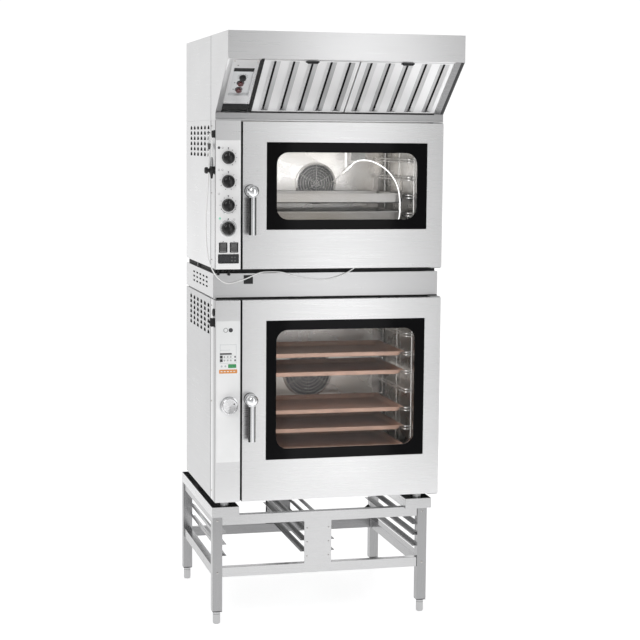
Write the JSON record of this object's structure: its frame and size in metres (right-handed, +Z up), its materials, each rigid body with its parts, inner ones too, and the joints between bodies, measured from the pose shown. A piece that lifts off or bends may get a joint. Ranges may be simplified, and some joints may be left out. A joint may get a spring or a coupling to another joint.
{
  "type": "combi steamer oven tower",
  "caption": "Stacked combi steamer ovens with glass doors, knobs, fans and racks, under a filter hood, on an open tray stand.",
  "frame": {"origin": "on the floor, under the middle of the tower's box, which spans the hood's fascia to the stand's rear legs", "axes": "+Z up; +Y to the back, so the doors face -Y; +X to the right seen from the front"},
  "size_m": [0.9603, 1.116, 2.35],
  "materials": {
    "brushed_steel": "fine brushed",
    "tube_steel": "brushed tube",
    "foot_steel": "turned and polished",
    "chassis_steel": "dull sheet",
    "cavity_steel": "satin, slightly stained",
    "gasket_rubber": "matte silicone",
    "door_glass": "clear with black printed border",
    "polished_chrome": "mirror polished",
    "motor_aluminium": "cast",
    "dial_steel": "radially brushed",
    "black_plastic": "satin moulded",
    "red_plastic": "glossy",
    "cable_white": "smooth silicone sheath",
    "probe_steel": "ground"
  },
  "bodies": {
    "tower": {"stand_side_frame_left": "tube_steel", "stand_side_frame_right": "tube_steel", "stand_front_crossmember": "tube_steel", "stand_rear_crossmember": "tube_steel", "stand_centre_runners": "tube_steel", "stand_channel_left": "tube_steel", "stand_channel_right": "tube_steel", "lower_casing": "brushed_steel", "lower_base": "chassis_steel", "lower_rear_cover": "chassis_steel", "lower_cavity": "cavity_steel", "lower_control_column": "brushed_steel", "lower_door_gasket": "gasket_rubber", "lower_hinge_rod": "chassis_steel", "lower_fan_baffle": "cavity_steel", "lower_fan_motor": "motor_aluminium", "lower_rack_left": "polished_chrome", "lower_rack_right": "polished_chrome", "upper_casing": "brushed_steel", "upper_base": "chassis_steel", "upper_rear_cover": "chassis_steel", "upper_cavity": "cavity_steel", "upper_control_column": "brushed_steel", "upper_door_gasket": "gasket_rubber", "upper_hinge_rod": "chassis_steel", "upper_fan_baffle": "cavity_steel", "upper_fan_motor": "motor_aluminium", "upper_rack_left": "polished_chrome", "upper_rack_right": "polished_chrome", "stacking_frame": "brushed_steel", "hood_shell": "brushed_steel", "hood_control_panel": "brushed_steel", "probe_socket": "black_plastic", "probe_plug": "black_plastic", "probe_cable": "cable_white", "probe_needle": "probe_steel"},
    "upper_door": {"upper_door_panel": "brushed_steel", "upper_door_glass": "door_glass"},
    "lower_door": {"lower_door_panel": "brushed_steel", "lower_door_glass": "door_glass"},
    "upper_handle": {"upper_door_handle": "polished_chrome"},
    "lower_handle": {"lower_door_handle": "polished_chrome"},
    "upper_knob_1": {"upper_knob_1": "black_plastic"},
    "upper_knob_2": {"upper_knob_2": "black_plastic"},
    "upper_knob_3": {"upper_knob_3": "black_plastic"},
    "upper_knob_4": {"upper_knob_4": "black_plastic"},
    "upper_rocker_1": {"upper_rocker_1": "black_plastic"},
    "upper_rocker_2": {"upper_rocker_2": "black_plastic"},
    "lower_dial": {"lower_dial": "dial_steel"},
    "upper_fan": {"upper_fan_wheel": "cavity_steel"},
    "lower_fan": {"lower_fan_wheel": "cavity_steel"},
    "hood_filter_left": {"hood_filter_left": "brushed_steel"},
    "hood_filter_right": {"hood_filter_right": "brushed_steel"},
    "hood_speed_knob": {"hood_speed_knob": "black_plastic"},
    "hood_button_1": {"hood_button_1": "red_plastic"},
    "hood_button_2": {"hood_button_2": "red_plastic"},
    "stand_foot_front_left": {"stand_foot_front_left": "foot_steel"},
    "stand_foot_front_right": {"stand_foot_front_right": "foot_steel"},
    "stand_foot_rear_left": {"stand_foot_rear_left": "foot_steel"},
    "stand_foot_rear_right": {"stand_foot_rear_right": "foot_steel"}
  },
  "joints": [
    {"name": "upper_door_hinge", "type": "hinge", "parent": "tower", "child": "upper_door", "pos_m": [0.44, -0.292, 1.7], "axis": [0, 0, 1], "range_deg": [0, 120]},
    {"name": "lower_door_hinge", "type": "hinge", "parent": "tower", "child": "lower_door", "pos_m": [0.44, -0.292, 0.9], "axis": [0, 0, 1], "range_deg": [0, 120]},
    {"name": "upper_handle_turn", "type": "hinge", "parent": "upper_door", "child": "upper_handle", "pos_m": [-0.321, -0.3083, 1.751], "axis": [0, -1, 0], "range_deg": [0, 90]},
    {"name": "lower_handle_turn", "type": "hinge", "parent": "lower_door", "child": "lower_handle", "pos_m": [-0.321, -0.3083, 0.935], "axis": [0, -1, 0], "range_deg": [0, 90]},
    {"name": "upper_knob_1_turn", "type": "hinge", "parent": "tower", "child": "upper_knob_1", "pos_m": [-0.41, -0.3083, 1.88], "axis": [0, 1, 0], "range_deg": [0, 300]},
    {"name": "upper_knob_2_turn", "type": "hinge", "parent": "tower", "child": "upper_knob_2", "pos_m": [-0.41, -0.3083, 1.788], "axis": [0, 1, 0], "range_deg": [0, 330]},
    {"name": "upper_knob_3_turn", "type": "hinge", "parent": "tower", "child": "upper_knob_3", "pos_m": [-0.41, -0.3083, 1.696], "axis": [0, 1, 0], "range_deg": [0, 300]},
    {"name": "upper_knob_4_turn", "type": "hinge", "parent": "tower", "child": "upper_knob_4", "pos_m": [-0.41, -0.3083, 1.606], "axis": [0, 1, 0], "range_deg": [0, 270]},
    {"name": "upper_rocker_1_tilt", "type": "hinge", "parent": "tower", "child": "upper_rocker_1", "pos_m": [-0.43, -0.308, 1.532], "axis": [1, 0, 0], "range_deg": [0, 12]},
    {"name": "upper_rocker_2_tilt", "type": "hinge", "parent": "tower", "child": "upper_rocker_2", "pos_m": [-0.387, -0.308, 1.532], "axis": [1, 0, 0], "range_deg": [0, 12]},
    {"name": "lower_dial_turn", "type": "hinge", "parent": "tower", "child": "lower_dial", "pos_m": [-0.406, -0.3083, 0.911], "axis": [0, 1, 0], "continuous": true},
    {"name": "upper_fan_spin", "type": "hinge", "parent": "tower", "child": "upper_fan", "pos_m": [0.076, 0.3, 1.766], "axis": [0, 1, 0], "continuous": true},
    {"name": "lower_fan_spin", "type": "hinge", "parent": "tower", "child": "lower_fan", "pos_m": [0.046, 0.3, 0.956], "axis": [0, 1, 0], "continuous": true},
    {"name": "hood_filter_left_tilt", "type": "hinge", "parent": "tower", "child": "hood_filter_left", "pos_m": [-0.1365, -0.30706, 2.05825], "axis": [1, 0, 0], "range_deg": [0, 30]},
    {"name": "hood_filter_right_tilt", "type": "hinge", "parent": "tower", "child": "hood_filter_right", "pos_m": [0.2355, -0.30706, 2.05825], "axis": [1, 0, 0], "range_deg": [0, 30]},
    {"name": "hood_speed_knob_turn", "type": "hinge", "parent": "tower", "child": "hood_speed_knob", "pos_m": [-0.384, -0.45661, 2.17711], "axis": [0, 0.6057, 0.7957], "range_deg": [0, 270]},
    {"name": "hood_button_1_press", "type": "slide", "parent": "tower", "child": "hood_button_1", "axis": [0, 0.6057, 0.7957], "range_m": [0, 0.003], "stiffness_N_per_m": 300, "springref_m": -0.005},
    {"name": "hood_button_2_press", "type": "slide", "parent": "tower", "child": "hood_button_2", "axis": [0, 0.6057, 0.7957], "range_m": [0, 0.003], "stiffness_N_per_m": 300, "springref_m": -0.005},
    {"name": "stand_foot_front_left_turn", "type": "hinge", "parent": "tower", "child": "stand_foot_front_left", "pos_m": [-0.43, -0.18, 0.03], "axis": [0, 0, 1], "continuous": true},
    {"name": "stand_foot_front_right_turn", "type": "hinge", "parent": "tower", "child": "stand_foot_front_right", "pos_m": [0.43, -0.18, 0.03], "axis": [0, 0, 1], "continuous": true},
    {"name": "stand_foot_rear_left_turn", "type": "hinge", "parent": "tower", "child": "stand_foot_rear_left", "pos_m": [-0.43, 0.538, 0.03], "axis": [0, 0, 1], "continuous": true},
    {"name": "stand_foot_rear_right_turn", "type": "hinge", "parent": "tower", "child": "stand_foot_rear_right", "pos_m": [0.43, 0.538, 0.03], "axis": [0, 0, 1], "continuous": true}
  ]
}
